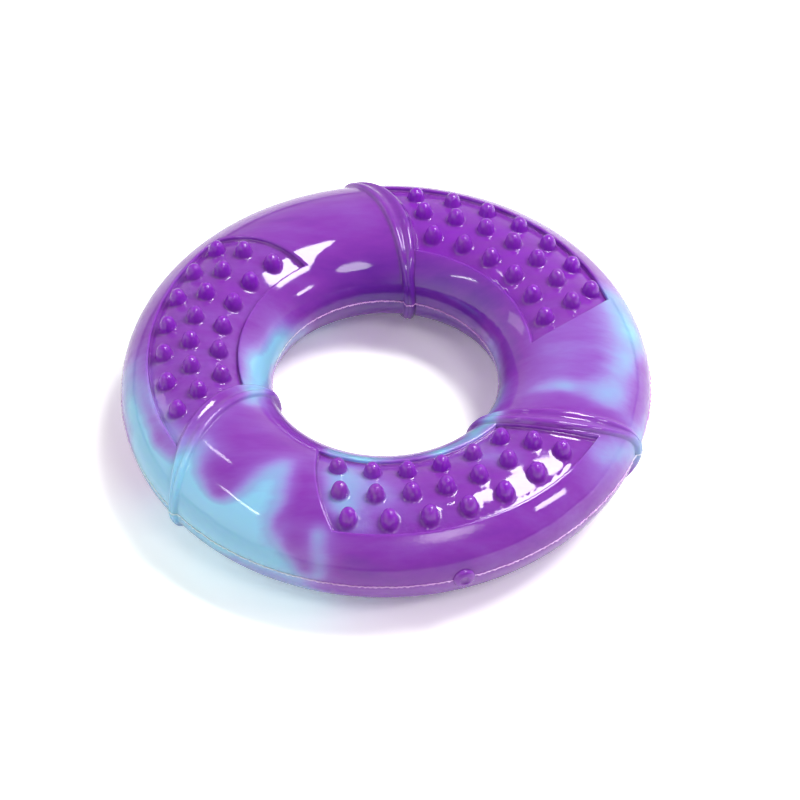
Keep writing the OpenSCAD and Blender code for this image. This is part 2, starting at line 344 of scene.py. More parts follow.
# where the gloss is rubbed dull by play
scuffed_strokes = (
    ((-4, -62, 10), (8, -64, 10, 6, 1.0), (24, -61, 10, 5, 0.7)),
    ((30, 58, 8), (-4, 66, 6, 8, 0.6)), ((-35, -19, 15), (-47, -31, 16, 3.5, 1.0)),
    ((-48, 30, -14), (-30, 46, -14, 9, 0.8)), ((20, -50, -14), (40, -36, -14, 9, 0.8)),
)


def stirred(places):
    """Places in millimetres, pushed about: three slow waves and three quicker ones,
    each the sine of the place's distance along some slanted direction."""
    along = np.array([
        [0.16, 0.11, 0.07], [-0.09, 0.17, 0.12], [0.12, -0.13, 0.15],
        [0.42, 0.29, -0.23], [-0.31, 0.45, 0.19], [0.27, 0.21, 0.49],
    ])
    push = np.array([
        [0.3, 0.9, 0.5], [0.9, -0.3, 0.4], [-0.5, 0.6, 0.5],
        [0.15, -0.12, 0.1], [-0.1, 0.15, 0.12], [0.12, 0.1, -0.15],
    ])
    return places + np.sin(places @ along.T + np.arange(6) * 1.7) @ push


def stroke_depth(places, paths):
    """How deep places lie in the strokes: a bell curve of the distance from each line,
    measured in radii, and what one stroke leaves uncovered the next may cover."""
    bare = np.ones(len(places))
    for path in paths:
        for start, (*end, radius, strength) in zip(path[:-1], path[1:]):
            line = np.subtract(end, start[:3])
            offset = places - start[:3]
            share = np.clip(offset @ line / (line @ line), 0, 1)
            away = np.linalg.norm(offset - share[:, None] * line, axis=1) / radius
            bare = bare * (1 - strength * np.exp(-(away**2)))
    return 1 - bare


def poured(places, strokes):
    """How blue the rubber is at places about the ring's middle: strokes less tongues,
    and below zero under the deep strokes, which are mostly painted shade."""
    moved = stirred(places)
    pale = stroke_depth(moved, strokes + hidden_strokes)
    pale = pale * (1 - stroke_depth(moved, purple_tongues))
    return pale - shade_and_deep_share * stroke_depth(moved, shade_and_deep_strokes) * (1 - np.clip(pale, 0, 1))


def pour(piece, strokes=pale_strokes, keep=1.0, deepen=0.0, dull=0.0):
    """Stores how blue and how scuffed each point of a piece is: keep and deepen change
    the blue, and dull is the least that a point is scuffed. Gives the piece back."""
    mesh = piece.data
    places = np.empty(len(mesh.vertices) * 3)
    mesh.vertices.foreach_get("co", places)
    places = places.reshape(-1, 3) / MM - [0, 0, middle_h]
    share = poured(places, strokes) * keep - deepen
    scuffed = np.maximum(stroke_depth(stirred(places), scuffed_strokes), dull)
    for name, values in (("blue_share", share), ("scuff_share", scuffed)):
        stored = mesh.attributes.new(name, "FLOAT", "POINT").data
        stored.foreach_set("value", values.astype(np.float32))
    print(f"{piece.name}: {100 * float((share > 0.5).mean()):.0f}% of its points are blue")
    return piece


# %% [markdown]
# ## The half shells
# Each half of the ring is one skin of rubber. Its grid has rows that run round the
# ring and columns that run across the tube. The columns aren't straight: they follow
# the panels' slanted ends and the ribs, so that every edge lies on a grid line and
# stays crisp. Where a panel is sunk, the rim is rounded over with a few close lines.


# %% Rows across the tube
rim_round = 0.7  # radius of a panel's rounded rim
rim_steps = np.array([0.95, 0.68, 0.45, 0.26, 0.1, 0.0])
wall_draft = 0.15  # how far a panel's wall leans in at its foot
deep = 50.0        # any drop larger than the pocket's depth
floor_rows = 44    # rows on a panel's floor
side_rows = 26     # rows on each side of the tube, from the seam to the panel
cavity_rows = 30   # rows along half of the hollow inside


def rim_drop(away):
    """Drop of a rounded rim at a distance from the wall: a quarter of a circle."""
    near = np.clip(rim_round - away, 0, rim_round)
    return rim_round - np.sqrt(rim_round**2 - near**2)


def section_rows():
    """Turn and drop of each row of the outer skin, from the outer to the inner side."""
    outer_x = panel_out + rim_steps
    inner_x = -panel_in - rim_steps[::-1]
    floor_x = np.linspace(panel_out - wall_draft, -panel_in + wall_draft, floor_rows)
    shoulder = skin_turn(np.concatenate([outer_x, floor_x, inner_x]))
    outer = np.linspace(0, shoulder[0], side_rows + 1)[:-1]
    inner = np.linspace(shoulder[-1], pi, side_rows + 1)[1:]
    rim, side = rim_drop(rim_steps), np.zeros(side_rows)
    drop = np.concatenate([side, rim, np.full(floor_rows, deep), rim[::-1], side])
    return np.concatenate([outer, shoulder, inner]), drop


row_turn, row_drop = section_rows()
print("rows across the skin:", len(row_turn))


# %% Columns round the ring
flank_foot = 1.22    # where a crest's fillet ends, as a share of its half width
flank_knee = 0.93    # where its round flank turns into the fillet, likewise
groove_depth = 0.45  # depth of the groove between the crests, as a share of crest_h
rib_room = 0.35      # least distance from a panel's end to the second crest's foot
floor_cols = 64      # columns on a panel's floor
flank_cols = 12      # columns on each outer flank of the double rib
groove_cols = 7      # columns in the groove
body_cols = 55       # columns from the rib to the next panel


def flank(t):
    """Height of a crest at t half widths from its middle: half an ellipse down to the
    knee, then a parabola that runs out level at the foot."""
    knee = sqrt(1 - flank_knee**2)
    tail = knee * np.clip((flank_foot - t) / (flank_foot - flank_knee), 0, 1) ** 2
    return crest_h * np.where(t < flank_knee, np.sqrt(np.clip(1 - t**2, 0, 1)), tail)


def sector_columns(r):
    """Directions, rib heights and drops of one sector's columns at the radii r: a
    panel's free end, floor and ribbed end, the double rib, and the plain body."""
    r = np.asarray(r, float)[:, None]
    first, second = main_crest(r), second_crest(r)
    half = crest_w / 2 / r
    foot_1, foot_2 = first + flank_foot * half, second - flank_foot * half
    free, ribbed = free_end(r), np.minimum(ribbed_end(r), foot_2 - rib_room / r)
    next_free = free + radians(sectors[1]) - rim_steps[0] / r
    rim = rim_steps[:0:-1]
    floor = np.linspace(0, 1, floor_cols)
    slope = np.linspace(flank_foot, 0, flank_cols)
    across = np.linspace(0, 1, groove_cols + 2)[1:-1]
    body = np.linspace(0, 1, body_cols + 2)[1:-1]
    groove = groove_depth * np.minimum(1, (first - second) / (2 * half))
    valley = crest_h * (1 - groove * np.sin(pi * across) ** 2)

    columns = [
        (free - rim_steps / r, 0, rim_drop(rim_steps)),
        (free + wall_draft / r + floor * (ribbed - free - 2 * wall_draft / r), 0, deep),
        (ribbed + rim / r, 0, rim_drop(rim)),
        ((foot_2 + ribbed + rim[-1] / r) / 2, 0, 0),
        (second - slope * half, flank(slope), 0),
        (second + across * (first - second), valley, 0),
        (first + slope[::-1] * half, flank(slope[::-1]), 0),
        (foot_1 + body * (next_free - foot_1), 0, 0),
    ]
    az = np.concatenate([at for at, _, _ in columns], 1)
    rise = np.concatenate([np.broadcast_to(up, at.shape) for at, up, _ in columns], 1)
    drop = np.concatenate([np.broadcast_to(down, at.shape[1]) for at, _, down in columns])
    return az, rise, drop


def ring_columns(r):
    """The three sectors' columns, one after another round the ring."""
    az, rise, drop = sector_columns(r)
    turns = np.radians(sectors)
    return np.concatenate([az + t for t in turns], 1), np.tile(rise, (1, 3)), np.tile(drop, 3)


def half_skin():
    """Points of the upper half: the outer skin with its ribs and pockets, and back
    along the hollow inside, as one surface that is closed both ways."""
    x, z = section(row_turn)
    az, rise, drop = ring_columns(ring_r + x)
    sunk = np.minimum(row_drop[:, None], drop[None, :])
    x_out = x[:, None] + rise * np.cos(row_turn)[:, None]
    z_out = z[:, None] + rise * np.sin(row_turn)[:, None]
    floor = skin_height(x, -pocket_depth)[:, None]
    z_out = np.where(sunk > 0, np.maximum(z_out - sunk, floor), z_out)
    outer = ring_point(ring_r + x_out, az, z_out)
    outer[..., 1] = np.minimum(outer[..., 1], cad_high.y / MM - box_room)

    x, z = section(np.linspace(pi, 0, cavity_rows), -wall)
    az, _, _ = ring_columns(ring_r + x)
    inner = ring_point((ring_r + x)[:, None], az, z[:, None])
    points = np.concatenate([outer, inner], 0)
    points[np.abs(points[..., 2]) < 1e-6, 2] = 0
    return points


skin = half_skin()
skin_quads = grid_quads(*skin.shape[:2], True, True)
skin = skin.reshape(-1, 3)
upper_half = pour(make_piece("upper_rubber_half", skin, skin_quads))
lower_half = pour(make_piece("lower_rubber_half", skin, skin_quads, side=-1))

# %% [markdown]
# ## The chew pads
# A pad is a skin that fills its panel, with twenty soft studs in three rows. Studs
# grow out of the floor with a small fillet, narrow to a blunt bullet, and stand
# upright although the floor slopes. One way would be to cut the studs in with
# booleans, but that leaves ragged shading. Here the floor is triangulated round the
# studs' feet, so that floor, fillet and stud share their points and shade as one.

# %% Stud sizes
stud_r = 2.35      # radius of a stud above its fillet
stud_h = 4.0       # height of a stud
tip_r = 1.8        # radius of its round tip
stud_fillet = 0.6  # radius of the fillet at its foot
rows_of_studs = (  # first place, inward drift, count, room at the ribbed end
    (-6.4, 0.0, 6, 5.4),
    (1.8, 1.0, 7, 5.0),
    (8.6, 1.0, 7, 6.3),
)
row_lead = 5.8     # room from the free end to a row's first stud
level_from = 1.6   # height above which a stud's rings are level, not sloping
colour_from = 0.8  # height above which a stud has its own colour
stud_sides = 28    # points round a stud


def stud_places():
    """Radius, direction and foot height of each stud: evenly spaced between a row's
    two ends while the row drifts inwards, with all tips of a row equally high."""
    places = []
    for away, drift, count, tail in rows_of_studs:
        first, last = ring_r + away, ring_r + away - drift
        start = free_end(first) + row_lead / first
        end = ribbed_end(last) - tail / last
        height = float(skin_height(np.array(away - drift / 2), -panel_depth))
        for share in np.linspace(0, 1, count):
            places.append((first - drift * share, start + (end - start) * share, height))
    return np.array(places, float)


def stud_profile():
    """Distance from the axis and height along a stud, from its foot to its tip: a
    hollow quarter circle, an ogive arc, and the tip's circle, which it runs into."""
    tip_z = stud_h - tip_r
    arc_r = (tip_z**2 + stud_r**2 - tip_r**2) / (2 * (stud_r - tip_r))
    back = arc_r - stud_r
    lean = atan2(tip_z, back)
    start = asin(stud_fillet / arc_r)
    foot = np.linspace(0, pi / 2, 6)[:-1]
    side = np.linspace(start, lean, 9)
    tip = np.linspace(lean, pi / 2, 8)[1:-1]
    foot_x = arc_r * cos(start) - back + stud_fillet * (1 - np.sin(foot))
    foot_z = stud_fillet * (1 - np.cos(foot))
    rho = np.concatenate([foot_x, arc_r * np.cos(side) - back, tip_r * np.cos(tip)])
    return rho, np.concatenate([foot_z, arc_r * np.sin(side), tip_z + tip_r * np.sin(tip)])


stud_rho, stud_z = stud_profile()
print("foot radius of a stud:", round(float(stud_rho[0]), 2))


# %% Pad outline and floor
def floor_height(points, depth=panel_depth):
    """Height of the surface that lies depth below the skin, at points seen from above."""
    x = np.hypot(points[:, 0], points[:, 1]) - ring_r
    return skin_height(x, -depth)


def panel_outline(inset, ends=44, outer=120, inner=74):
    """Closed line round a panel, seen from above, drawn in by inset: along the free
    end, the outer circle, the ribbed end and the inner circle."""
    low, high = ring_r - panel_in + inset, ring_r + panel_out - inset
    up = np.linspace(low, high, ends, endpoint=False)
    down = np.linspace(high, low, ends, endpoint=False)
    over = np.linspace(free_end(high, inset), ribbed_end(high, inset), outer, endpoint=False)
    back = np.linspace(ribbed_end(low, inset), free_end(low, inset), inner, endpoint=False)
    r = np.concatenate([up, np.full(outer, high), down, np.full(inner, low)])
    az = np.concatenate([free_end(up, inset), over, ribbed_end(down, inset), back])
    return np.stack([r * np.cos(az), r * np.sin(az)], -1)


lip_w = 0.5  # width of the fillet that runs up a panel's wall
lip_h = 0.7  # height of that fillet
lip_steps = np.array([0.0, 0.06, 0.13, 0.23, 0.35, 0.5])
top_spacing = 0.9    # distance between the points on a pad's upper side
under_spacing = 3.0  # and on its underside, which doesn't show
foot_share = 0.985   # share of a foot's radius within which it holds no triangle


def fill_between(line, centres, spacing):
    """Triangles that fill a closed line and leave the studs' feet open: points on a
    grid inside are joined with the line and the feet by a constrained triangulation."""
    low, high = line.min(0), line.max(0)
    gx, gy = np.meshgrid(np.arange(low[0], high[0], spacing), np.arange(low[1], high[1], spacing))
    grid = np.stack([gx.ravel(), gy.ravel()], -1)
    grid[:, 0] += np.where(np.round((grid[:, 1] - low[1]) / spacing) % 2 == 0, 0, spacing / 2)
    r = np.hypot(grid[:, 0], grid[:, 1])
    az = np.arctan2(grid[:, 1], grid[:, 0])
    room = spacing * 0.6
    keep = (r > np.hypot(*line.T).min() + room) & (r < np.hypot(*line.T).max() - room)
    inset = pad_gap + lip_w
    keep &= (az > free_end(r, inset) + room / r) & (az < ribbed_end(r, inset) - room / r)
    for centre in centres:
        keep &= np.hypot(*(grid - centre).T) > stud_rho[0] + room
    feet = [centre + stud_rho[0] * round_circle(stud_sides) for centre in centres]
    points = np.concatenate([line, *feet, grid[keep]])
    edges, start = [], 0
    for loop in [line, *feet]:
        n = len(loop)
        edges += [(start + k, start + (k + 1) % n) for k in range(n)]
        start += n
    found = delaunay_2d_cdt([Vector(p) for p in points], edges, [], 1, 1e-6)
    order = np.array([ids[0] for ids in found[3]])
    triangles = order[np.array(found[2])]
    middle = points[triangles].mean(1)
    outside = np.ones(len(triangles), bool)
    for centre in centres:
        outside &= np.hypot(*(middle - centre).T) > stud_rho[0] * foot_share
    return points, triangles[outside]


# %% One pad, built once and turned into place
def stud_surface(centre, height, foot, first):
    """Points, quads and triangles of one stud. The points round its foot are the
    floor's, numbered from foot on, and its own are numbered from first on."""
    plan = centre + stud_rho[1:, None, None] * round_circle(stud_sides)
    under = floor_height(plan.reshape(-1, 2)).reshape(plan.shape[:2])
    steep = np.clip(stud_z / level_from, 0, 1)
    level = steep * steep * (3 - 2 * steep)
    z = under + (height - under) * level[1:, None] + stud_z[1:, None]
    tip = np.array([[*centre, height + stud_h]])
    points = np.concatenate([np.concatenate([plan, z[..., None]], -1).reshape(-1, 3), tip])
    rows = len(stud_rho) - 1
    last = first + (rows - 1) * stud_sides
    j = np.arange(stud_sides)
    j2 = (j + 1) % stud_sides
    quads = np.concatenate([
        np.stack([foot + j, foot + j2, first + j2, first + j], -1),
        grid_quads(rows, stud_sides, False, True, first),
    ])
    peak = np.full(stud_sides, last + stud_sides)
    return points, quads, np.stack([last + j, last + j2, peak], -1)


def pad_surface():
    """Points, quads, triangles and stud share of one pad, lying in the first sector."""
    rings = [panel_outline(pad_gap + step) for step in lip_steps]
    n = len(rings[0])
    r, az, heights = stud_places().T
    centres = r[:, None] * np.stack([np.cos(az), np.sin(az)], -1)
    top, top_faces = fill_between(rings[-1], centres, top_spacing)
    lip = lip_h * (1 - lip_steps / lip_w) ** 2
    points = [np.column_stack([rings[0], floor_height(rings[0], pocket_depth - pad_gap)])]
    points += [np.column_stack([p, floor_height(p) + rise]) for p, rise in zip(rings[:-1], lip)]
    points.append(np.column_stack([top, floor_height(top)]))
    top_at = n * len(rings)
    total = top_at + len(top)
    quads = [grid_quads(len(rings) + 1, n, False, True)]
    triangles = [top_faces + top_at]
    share = [np.zeros(total)]
    for k, (centre, height) in enumerate(zip(centres, heights)):
        parts = stud_surface(centre, height, top_at + n + k * stud_sides, total)
        for group, part in zip((points, quads, triangles), parts):
            group.append(part)
        share += [np.repeat(np.clip(stud_z[1:] / colour_from, 0, 1), stud_sides), np.ones(1)]
        total += len(parts[0])
    under, under_faces = fill_between(rings[0], [], under_spacing)
    extra = under[n:]
    points.append(np.column_stack([extra, floor_height(extra, pocket_depth - pad_gap)]))
    share.append(np.zeros(len(extra)))
    renumber = np.concatenate([np.arange(n), total + np.arange(len(extra))])
    triangles.append(renumber[under_faces][:, ::-1])
    return [np.concatenate(group) for group in (points, quads, triangles, share)]


stud_purple = 0.85  # share of the blue that a stud loses
stud_deep = 0.12    # how far it lies below plain purple
stud_dull = 0.55    # how scuffed it is
pad_points, pad_quads, pad_triangles, share = pad_surface()
stud_finish = 1 - stud_purple * share, stud_deep * share, stud_dull * share
pads = {}
for side, word in ((1, "upper"), (-1, "lower")):
    for turn, where in zip(sectors, ("right", "left", "front")):
        points = turned(pad_points, turn)
        pad = make_piece(f"{word}_studded_pad_{where}", points, pad_quads, pad_triangles, side)
        pads[f"{word}_pad_{where}"] = pour(pad, pad_strokes, *stud_finish)

# %% [markdown]
# ## The parting line
# Where the two halves of the mould met, a thin lip of rubber was squeezed out. It
# runs right round the outer and the inner side and over the ribs, never quite even.
# A thin ring is carried along the ribs' own outline, and sums of sines with
# unrelated periods make its width uneven in the same way on every run.

# %% Flash along the seam
flash_t = 0.4       # thickness of the lip
flash_out = 0.28    # how far it stands out on average
flash_least = 0.04  # least that it stands out
flash_most = 0.42   # most that it stands out
flash_root = 0.3    # how far it reaches back between the halves
flash_steps = 1600  # points round the ring
worn_at = 175.0     # direction in which it is rubbed down most, in degrees
worn_span = 48.0    # how far to both sides it is rubbed down
worn_most = 0.25    # how much is rubbed off there
# waves round the ring, size and phase of the sines that make it stick out and wander
jags = ((61, 0.05, 0.3), (97, 0.05, 1.9), (213, 0.07, 0.7), (331, 0.08, 2.6))
wander = ((43, 0.04, 1.1), (119, 0.04, 0.2), (287, 0.048, 2.2))


def uneven(az, parts):
    """Sum of sines of the direction: each part is waves round the ring, size, phase."""
    return sum(size * np.sin(waves * az + phase) for waves, size, phase in parts)


def make_flash(name, turn, direction):
    """A lens-shaped lip on the equator: its root in the joint, its edge outside."""
    fine = np.linspace(0, 2 * pi, flash_steps, endpoint=False)
    x, _ = section(np.array([turn]))
    az, rise, _ = ring_columns(ring_r + x)
    angle = np.mod(az[0], 2 * pi)
    order = np.argsort(angle)
    rise = np.interp(fine, angle[order], rise[0][order], period=2 * pi)
    skin = ring_r + x[0] + direction * rise
    worn = np.clip(1 - np.abs(fine - radians(worn_at)) / radians(worn_span), 0, 1)
    out = flash_out + uneven(fine, jags) - worn_most * np.sqrt(worn)
    edge = skin + direction * np.clip(out, flash_least, flash_most)
    if direction > 0:
        across = min(cad_high.x, -cad_low.x) / MM - box_room
        beyond = np.where(np.sin(fine) > 0, cad_high.y, -cad_low.y) / MM - box_room
        edge = np.minimum(edge, across / np.maximum(np.abs(np.cos(fine)), 0.1))
        edge = np.minimum(edge, beyond / np.maximum(np.abs(np.sin(fine)), 0.1))
    root = skin - direction * flash_root
    lens = round_circle(10)
    r = (edge + root) / 2 + lens[:, :1] * (edge - root) / 2
    z = uneven(fine, wander) + lens[:, 1:] * flash_t / 2
    points = ring_point(r, fine, z)
    quads = grid_quads(*points.shape[:2], True, True)
    return pour(make_piece(name, points.reshape(-1, 3), quads))


outer_flash = make_flash("outer_parting_lip", 0.0, 1)
inner_flash = make_flash("inner_parting_lip", pi, -1)

# %% [markdown]
# ## The vent plug
# A small round plug closes the hole through which the hollow ring was filled. Its
# head stands a little out of the ring's side and has a dimple in its face. It is a
# profile turned round the plug's axis, with rounded edges that catch the light.

# %% Plug as a turned profile
plug_at = 285.8     # direction of the plug, in degrees
head_r = 2.9        # radius of its head
head_out = 1.4      # how far it stands out
dome_r = 5.0        # radius of its domed face
dimple_r = 1.2      # radius of the dimple
dimple_depth = 0.6  # depth of the dimple
head_in = 1.2       # how far it reaches into the ring's side
head_round = 0.8    # radius of its rounded rim
brow = 0.4          # width of the dimple's rounded brow
brow_drop = 0.12    # height of that brow
dome_drop = 0.3     # how much of the dimple's depth the dome takes up
bevel = 0.1         # height of the bevel round its back
plug_sides = 48     # points round the plug


def plug_profile():
    """Distance from the axis and height along the plug: up the head's side, over its
    rounded rim onto the dome, and down into the dimple, a hollow quarter ellipse."""
    bend = np.linspace(0, pi / 2, 7)
    rim_lean = asin((head_r - head_round) / (dome_r - head_round))
    top_lean = asin((dimple_r + brow) / dome_r)
    turn = np.linspace(pi / 2, rim_lean, 7)
    dome = np.linspace(rim_lean, top_lean, 8)[1:]
    rim_z = head_out - dome_r + (dome_r - head_round) * cos(rim_lean)
    brow_z = head_out - dome_r + dome_r * cos(top_lean)
    hollow = dimple_depth - dome_drop
    rho = [
        [0.0, head_r * 0.7, head_r],
        head_r - head_round + head_round * np.sin(turn),
        dome_r * np.sin(dome),
        dimple_r + brow * (1 - np.sin(bend))[1:],
        dimple_r * np.cos(bend[1:-1]),
        [0.0],
    ]
    height = [
        [-head_in, -head_in, bevel - head_in],
        rim_z + head_round * np.cos(turn),
        head_out - dome_r + dome_r * np.cos(dome),
        brow_z - brow_drop * (1 - np.cos(bend))[1:],
        brow_z - brow_drop - hollow * np.sin(bend[1:-1]),
        [brow_z - brow_drop - hollow],
    ]
    return np.concatenate(rho), np.concatenate(height)


def make_plug():
    """The profile carried round the plug's axis, with a point at each pole."""
    rho, height = plug_profile()
    along = ring_r + half_w + height
    rows = len(rho) - 2
    side = round_circle(plug_sides) * rho[1:-1, None, None]
    along_all = np.broadcast_to(along[1:-1, None], (rows, plug_sides))
    local = np.stack([along_all, side[..., 1], -side[..., 0]], -1).reshape(-1, 3)
    local = np.concatenate([local, [[along[0], 0, 0], [along[-1], 0, 0]]])
    j = np.arange(plug_sides)
    j2 = (j + 1) % plug_sides
    last = (rows - 1) * plug_sides
    pole = np.full(plug_sides, rows * plug_sides)
    caps = [np.stack([pole, j2, j], -1), np.stack([pole + 1, last + j, last + j2], -1)]
    quads = grid_quads(rows, plug_sides, False, True)
    return pour(make_piece("vent_plug_head", turned(local, plug_at), quads, np.concatenate(caps)))


plug = make_plug()

# %% [markdown]
# ## Marbled rubber
# The finish reads how blue a place is from the points of its piece. A noise that is
# drawn out along the pour adds fine filaments where the colours meet, and a colour
# ramp runs from deep purple over lilac to pale blue; where the deep strokes lie, the
# deep purple is painted shade. A second, slow noise dents the glossy surface a little,
# so that reflections wander as they do on soft rubber. The studs and the scuffed
# places are duller than the rest.


# %% Node helpers
def new_material(name):
    """An empty node material with its output and a rubber shader in place."""
    material = bpy.data.materials.new(name)
    material.use_nodes = True
    tree = material.node_tree
    tree.nodes.clear()
    shader = tree.nodes.new("ShaderNodeBsdfPrincipled")
    output = tree.nodes.new("ShaderNodeOutputMaterial")
    tree.links.new(shader.outputs["BSDF"], output.inputs["Surface"])
    return material, tree, shader


def fill(tree, node, inputs):
    """Links sockets of a node to other sockets, or gives them a value."""
    for key, value in inputs.items():
        if isinstance(value, bpy.types.NodeSocket):
            tree.links.new(value, node.inputs[key])
        else:
            node.inputs[key].default_value = value


def add(tree, kind, inputs=None, **settings):
    """A node with its settings made and its sockets filled. Blender's name of its kind
    has ShaderNode before it."""
    node = tree.nodes.new("ShaderNode" + kind)
    for key, value in settings.items():
        setattr(node, key, value)
    fill(tree, node, inputs or {})
    return node


def math_node(tree, operation, a, b):
    """One arithmetic node; gives its output socket."""
    return add(tree, "Math", {0: a, 1: b}, operation=operation).outputs[0]


def remap(tree, value, begin, end, low, high, curve="LINEAR"):
    """Carries a value from begin to end over to low to high, and stops there."""
    return add(tree, "MapRange", {
        "Value": value, "From Min": begin, "From Max": end, "To Min": low, "To Max": high,
    }, interpolation_type=curve).outputs[0]


def noise(tree, coords, scale, detail=2.0, roughness=0.5):
    """A noise whose waves are about one metre long divided by scale."""
    return add(tree, "TexNoise", {
        "Vector": coords, "Scale": scale, "Detail": detail, "Roughness": roughness,
    }).outputs["Fac"]


def frame_coords(tree):
    """Where a point lies, in metres in the frame."""
    return add(tree, "TexCoord").outputs["Object"]


# %% The rubber's finish
usual = 0.3, 0.7       # range that holds most values of a noise
stirring = 0.17, 0.32  # least and most that the drawn-out noise adds to the blue
gloss = 0.04, 0.10     # least and most roughness of clean rubber
scuff_rough = 0.14     # roughness that a full scuff adds
# the first, darkest colour shows in low patches of the stirring and, most of all, as the painted
# shade of the deep strokes
body_colours = (
    (0.02, (0.146, 0.020, 0.360, 1)),
    (0.22, (0.262, 0.044, 0.455, 1)),
    (0.42, (0.302, 0.112, 0.560, 1)),
    (0.57, (0.335, 0.220, 0.660, 1)),
    (0.71, (0.325, 0.350, 0.720, 1)),
    (0.86, (0.290, 0.450, 0.750, 1)),
    (1.00, (0.295, 0.640, 0.860, 1)),
)
# the pads hold no deep purple, and their studs are redder instead
pad_colours = ((0.02, (0.280, 0.012, 0.580, 1)), *body_colours[1:])
# the parting lip: paler than the ring because the squeezed-out rubber is thin, and lighter again
# as a painted highlight along the seam
lip_and_highlight_colours = (
    (0.15, (0.700, 0.320, 0.800, 1)),
    (0.60, (0.740, 0.560, 0.880, 1)),
    (1.00, (0.700, 0.880, 0.940, 1)),
)


def marbling(tree, coords, colours):
    """Colour of the poured rubber at each place, as a socket: the stored share of blue
    and a noise drawn out along the pour, looked up in a ramp of colours."""
    blue = add(tree, "Attribute", attribute_name="blue_share").outputs["Fac"]
    drawn = add(tree, "Mapping", {
        "Vector": coords, "Rotation": (0, 0, radians(35)), "Scale": (45.0, 170.0, 120.0),
    }).outputs[0]
    stir = noise(tree, drawn, 1.0, 4.0, 0.6)
    amount = math_node(tree, "ADD", blue, remap(tree, stir, *usual, *stirring))
    ramp = add(tree, "ValToRGB", {"Fac": amount})
    steps = ramp.color_ramp.elements
    steps[0].position, steps[0].color = colours[0]
    steps[1].position, steps[1].color = colours[-1]
    for at, colour in colours[1:-1]:
        steps.new(at).color = colour
    return ramp.outputs["Color"]


def rubber(name, colours=body_colours, dents=0.15, pits=0.5, glow=0.55):
    """Glossy marbled rubber that lets a little light in. Its surface is never quite even,
    which bends the reflections. Where scuffed it is duller and finely pitted."""
    material, tree, shader = new_material(name)
    coords = frame_coords(tree)
    scuffed = add(tree, "Attribute", attribute_name="scuff_share").outputs["Fac"]
    uneven_gloss = remap(tree, noise(tree, coords, 90.0), *usual, *gloss)
    scuffing = math_node(tree, "MULTIPLY", scuffed, scuff_rough)
    roughness = math_node(tree, "ADD", uneven_gloss, scuffing)
    pitted = math_node(tree, "MULTIPLY", noise(tree, coords, 900.0), scuffed)
    pitted = math_node(tree, "MULTIPLY", pitted, pits)
    bump = add(tree, "Bump", {
        "Height": math_node(tree, "ADD", noise(tree, coords, 100.0, 1.5), pitted),
        "Strength": dents, "Distance": 0.6 * MM,
    }).outputs[0]
    fill(tree, shader, {
        "Base Color": marbling(tree, coords, colours), "IOR": 1.45,
        "Subsurface Weight": glow, "Subsurface Scale": 1.8 * MM,
        "Subsurface Radius": (1.0, 0.6, 1.2),
        "Roughness": roughness, "Coat Roughness": roughness,
        "Coat Weight": remap(tree, scuffed, 0.0, 1.5, 0.5, 0.1),
        "Normal": bump, "Coat Normal": bump,
    })
    return material


shell_rubber = rubber("marbled_rubber")
pad_rubber = rubber("marbled_pad_rubber", pad_colours, dents=0.1, pits=5.0)
plug_rubber = rubber("plug_rubber", dents=0.1)
# the lip's finish: thin pale rubber and a painted highlight
lip_and_highlight_rubber = rubber("parting_lip_rubber", lip_and_highlight_colours, glow=0.0)


def core_foam():
    """Pale closed-cell foam: small cells from a Voronoi texture, rough all over."""
    material, tree, shader = new_material("core_foam")
    cells = add(tree, "TexVoronoi", {"Vector": frame_coords(tree), "Scale": 1200.0})
    depth = cells.outputs["Distance"]
    tint = add(tree, "Mix", {
        "Factor": depth, "A": (0.78, 0.76, 0.84, 1), "B": (0.60, 0.57, 0.68, 1),
    }, data_type="RGBA").outputs["Result"]
    bump = add(tree, "Bump", {"Height": depth, "Strength": 0.4, "Distance": 0.4 * MM})
    fill(tree, shader, {"Base Color": tint, "Normal": bump.outputs[0], "Roughness": 0.9})
    return material


foam = core_foam()

# %% [markdown]
# ## Dressing the frame
# Each new piece takes the place of the imported nodes that it stands for and rides on
# the ring's one body. The foam core stays as it was packed: nothing shows of it, and
# it only gets its own finish.

# %% Finishes and bodies
root = next(iter(frame["bodies"]))


def dress(piece, material, slot, *nodes):
    """Gives a piece its finish and its body, and hides the nodes it stands for. The slot is not
    used.
    """
    piece.data.materials.append(material)
    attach(piece, root)
    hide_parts(*nodes)


dress(upper_half, shell_rubber, "marbled_rubber", "upper_shell")
dress(lower_half, shell_rubber, "marbled_rubber", "lower_shell")
dress(outer_flash, lip_and_highlight_rubber, "seam_rubber", "outer_seam_bead")
dress(inner_flash, lip_and_highlight_rubber, "seam_rubber", "inner_seam_bead")
dress(plug, plug_rubber, "plug_rubber", "vent_plug")
for node, piece in pads.items():
    dress(piece, pad_rubber, "pad_rubber", node)

core = frame["nodes"]["foam_core"]
core.data.materials.clear()
core.data.materials.append(foam)

# %% [markdown]
# ## Floor, light and camera
# The ring lies on a plain white table in a room whose far wall is bright and whose
# near side is dim. Softboxes light it: a large one high on the right, whose
# reflections are the white shapes on the crown, two smaller ones in front, and on the
# left a thin strip, a small pane and a dim window. The camera has a long lens and
# looks down at the ring from less than a metre.

# %% Floor
span = 6.0             # half the width of the table, in metres
plain_white = 0.06     # share of plain white in what the rubber mirrors
plain_least = 0.08     # share of it in the floor round the ring
plain_reach = 0.2, 0.9  # metres from the axis, between which that share grows to 1


def shown_white(tree, straight):
    """Share of plain white that a ray meets: straight where the camera looks at the
    place itself, and a little where a surface mirrors it or lets it through."""
    path = add(tree, "LightPath").outputs
    mirrored = math_node(tree, "MAXIMUM", path["Is Glossy Ray"], path["Is Transmission Ray"])
    mirrored = math_node(tree, "MULTIPLY", mirrored, plain_white)
    straight = math_node(tree, "MULTIPLY", path["Is Camera Ray"], straight)
    return math_node(tree, "MAXIMUM", straight, mirrored), path["Is Camera Ray"]


